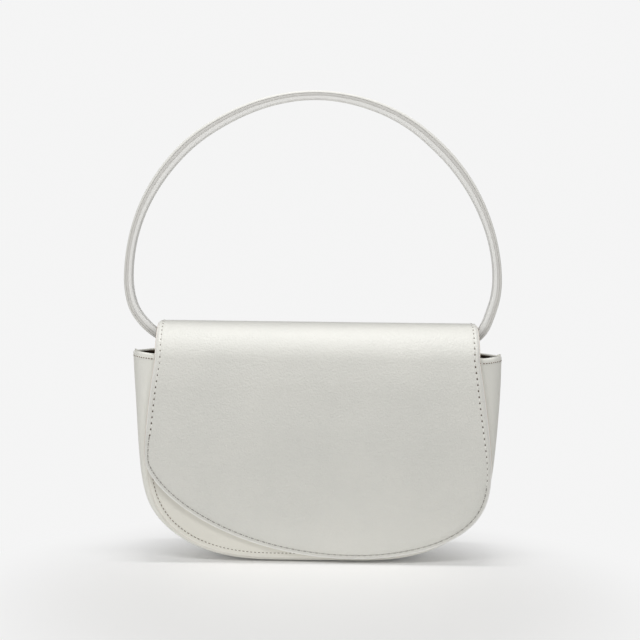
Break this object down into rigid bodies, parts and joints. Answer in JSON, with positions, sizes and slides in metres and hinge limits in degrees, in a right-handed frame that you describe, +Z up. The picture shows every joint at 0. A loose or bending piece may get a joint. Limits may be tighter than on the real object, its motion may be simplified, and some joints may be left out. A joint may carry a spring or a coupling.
{
  "type": "half moon bag",
  "caption": "Half moon shaped leather bag with a rolled front flap, side gussets and an arched carrying handle.",
  "frame": {"origin": "centre of the bounding box in X and Y, on the surface that the bag stands on", "axes": "+Z up towards the handle, -Y towards the flap's front, +X to the right seen from the front"},
  "size_m": [0.2564, 0.066, 0.3118],
  "materials": {
    "gusset": "smooth fine-grained leather",
    "front_panel": "smooth fine-grained leather",
    "back_panel": "smooth fine-grained leather",
    "front_board": "bonded leather board",
    "back_board": "bonded leather board",
    "front_lining": "plain woven lining",
    "back_lining": "plain woven lining",
    "gusset_lining": "plain woven lining",
    "front_facing": "smooth fine-grained leather",
    "back_facing": "smooth fine-grained leather",
    "gusset_facing_left": "smooth fine-grained leather",
    "gusset_facing_right": "smooth fine-grained leather",
    "front_magnet": "nickel-plated",
    "anchor_tab_left": "smooth fine-grained leather",
    "anchor_tab_right": "smooth fine-grained leather",
    "anchor_pin_left": "nickel-plated",
    "anchor_pin_right": "nickel-plated",
    "flap_leather": "smooth fine-grained leather",
    "flap_board": "bonded leather board",
    "flap_lining": "smooth fine-grained leather",
    "flap_keeper": "nickel-plated",
    "handle_outer": "smooth fine-grained leather",
    "handle_core": "painted edge",
    "handle_inner": "smooth fine-grained leather",
    "handle_end_left": "smooth fine-grained leather",
    "handle_end_right": "smooth fine-grained leather"
  },
  "bodies": {
    "bag_body": {"gusset": "gusset", "front_panel": "front_panel", "back_panel": "back_panel", "front_board": "front_board", "back_board": "back_board", "front_lining": "front_lining", "back_lining": "back_lining", "gusset_lining": "gusset_lining", "front_facing": "front_facing", "back_facing": "back_facing", "gusset_facing_left": "gusset_facing_left", "gusset_facing_right": "gusset_facing_right", "front_magnet": "front_magnet", "anchor_tab_left": "anchor_tab_left", "anchor_tab_right": "anchor_tab_right", "anchor_pin_left": "anchor_pin_left", "anchor_pin_right": "anchor_pin_right"},
    "flap": {"flap_leather": "flap_leather", "flap_board": "flap_board", "flap_lining": "flap_lining", "flap_keeper": "flap_keeper"},
    "handle": {"handle_outer": "handle_outer", "handle_core": "handle_core", "handle_inner": "handle_inner", "handle_end_left": "handle_end_left", "handle_end_right": "handle_end_right"}
  },
  "joints": [
    {"name": "flap_hinge", "type": "hinge", "parent": "bag_body", "child": "flap", "pos_m": [0, 0.02457, 0.134], "axis": [-1, 0, 0], "range_deg": [0, 115]},
    {"name": "handle_hinge", "type": "hinge", "parent": "bag_body", "child": "handle", "pos_m": [0, -0.00005, 0.1434], "axis": [1, 0, 0], "range_deg": [-85, 60]}
  ]
}
